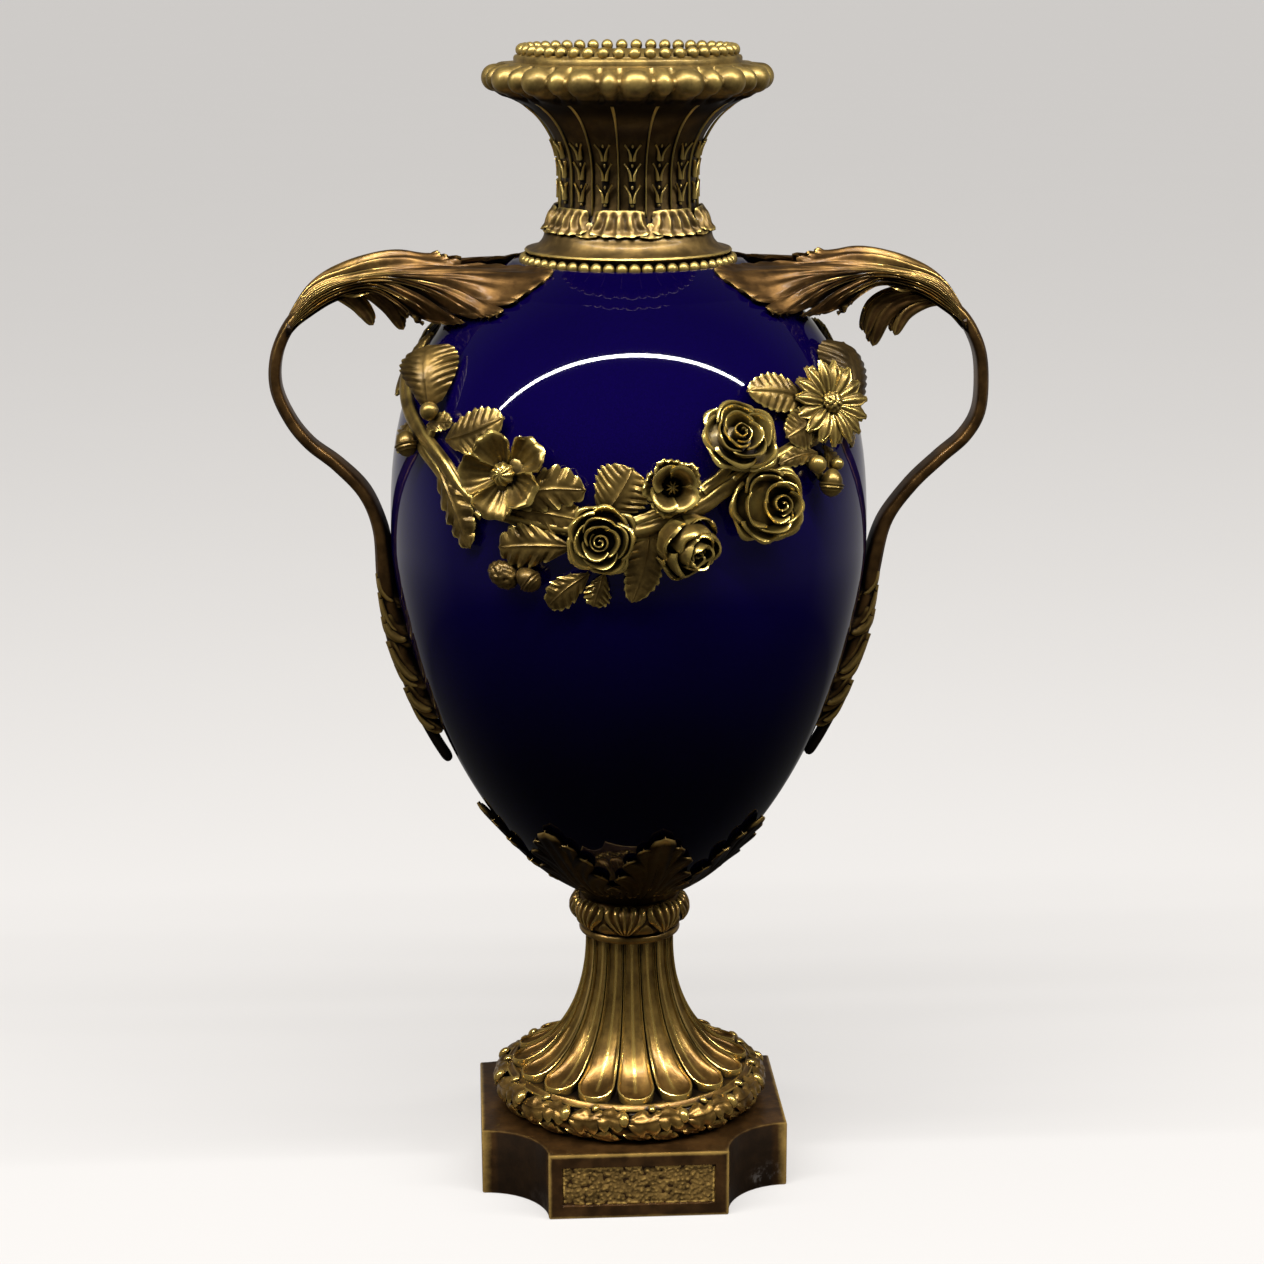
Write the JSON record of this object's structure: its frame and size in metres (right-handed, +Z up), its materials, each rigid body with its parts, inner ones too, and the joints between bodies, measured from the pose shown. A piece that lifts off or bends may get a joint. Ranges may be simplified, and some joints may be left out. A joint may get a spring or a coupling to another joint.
{
  "type": "ornamental urn vase with bronze mounts",
  "caption": "Ovoid glazed urn vase in gilt bronze mounts, with acanthus scroll handles, a flower garland, a fluted foot and a square plinth with hollowed corners.",
  "frame": {"origin": "middle of the plinth's underside, on the surface the vase stands on", "axes": "+Z up along the vase's axis, front towards -Y, handles along X"},
  "size_m": [0.3747, 0.2717, 0.61],
  "materials": {
    "gilt_bronze": "rubbed gilt patina under lacquer",
    "plinth_bronze": "dark red-brown patina with rubbed edges",
    "dark_bronze": "dark brown patina",
    "handle_bronze": "red-brown patina with rubbed crests",
    "garland_bronze": "olive-gold patina with dark recesses",
    "cobalt_glaze": "deep cobalt gloss glaze"
  },
  "bodies": {
    "root": {"plinth": "plinth_bronze", "socle": "gilt_bronze", "calyx": "dark_bronze", "body": "cobalt_glaze", "neck": "gilt_bronze", "handle_left": "handle_bronze", "handle_right": "handle_bronze", "garland_front": "garland_bronze", "garland_back": "garland_bronze"}
  },
  "joints": []
}
